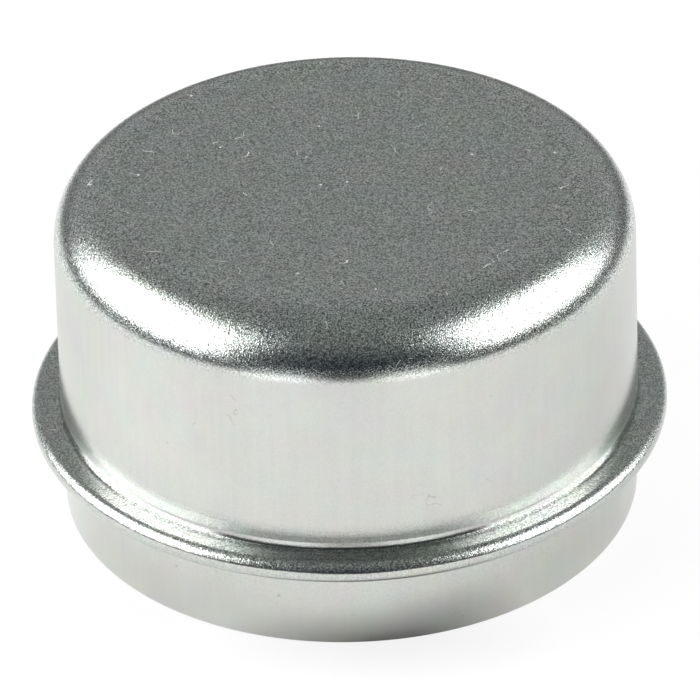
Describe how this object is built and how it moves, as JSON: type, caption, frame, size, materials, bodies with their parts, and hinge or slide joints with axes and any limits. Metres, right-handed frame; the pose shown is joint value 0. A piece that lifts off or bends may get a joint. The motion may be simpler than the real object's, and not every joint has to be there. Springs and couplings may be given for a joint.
{
  "type": "hub grease cap",
  "caption": "Drawn steel cup with a flat crown, a folded stop bead and a press-in collar; closes a wheel hub's bearing bore and holds its grease in.",
  "frame": {"origin": "centre of the open rim, in the plane of the collar's cut edge", "axes": "+Z along the cap's axis towards the closed crown"},
  "size_m": [0.0554, 0.0554, 0.0303],
  "materials": {
    "zinc_steel": "bright zinc plate over drawn sheet: fine grain on the crown and the bead, ironed satin on the wall and the collar"
  },
  "bodies": {
    "root": {"grease_cap": "zinc_steel"}
  },
  "joints": []
}
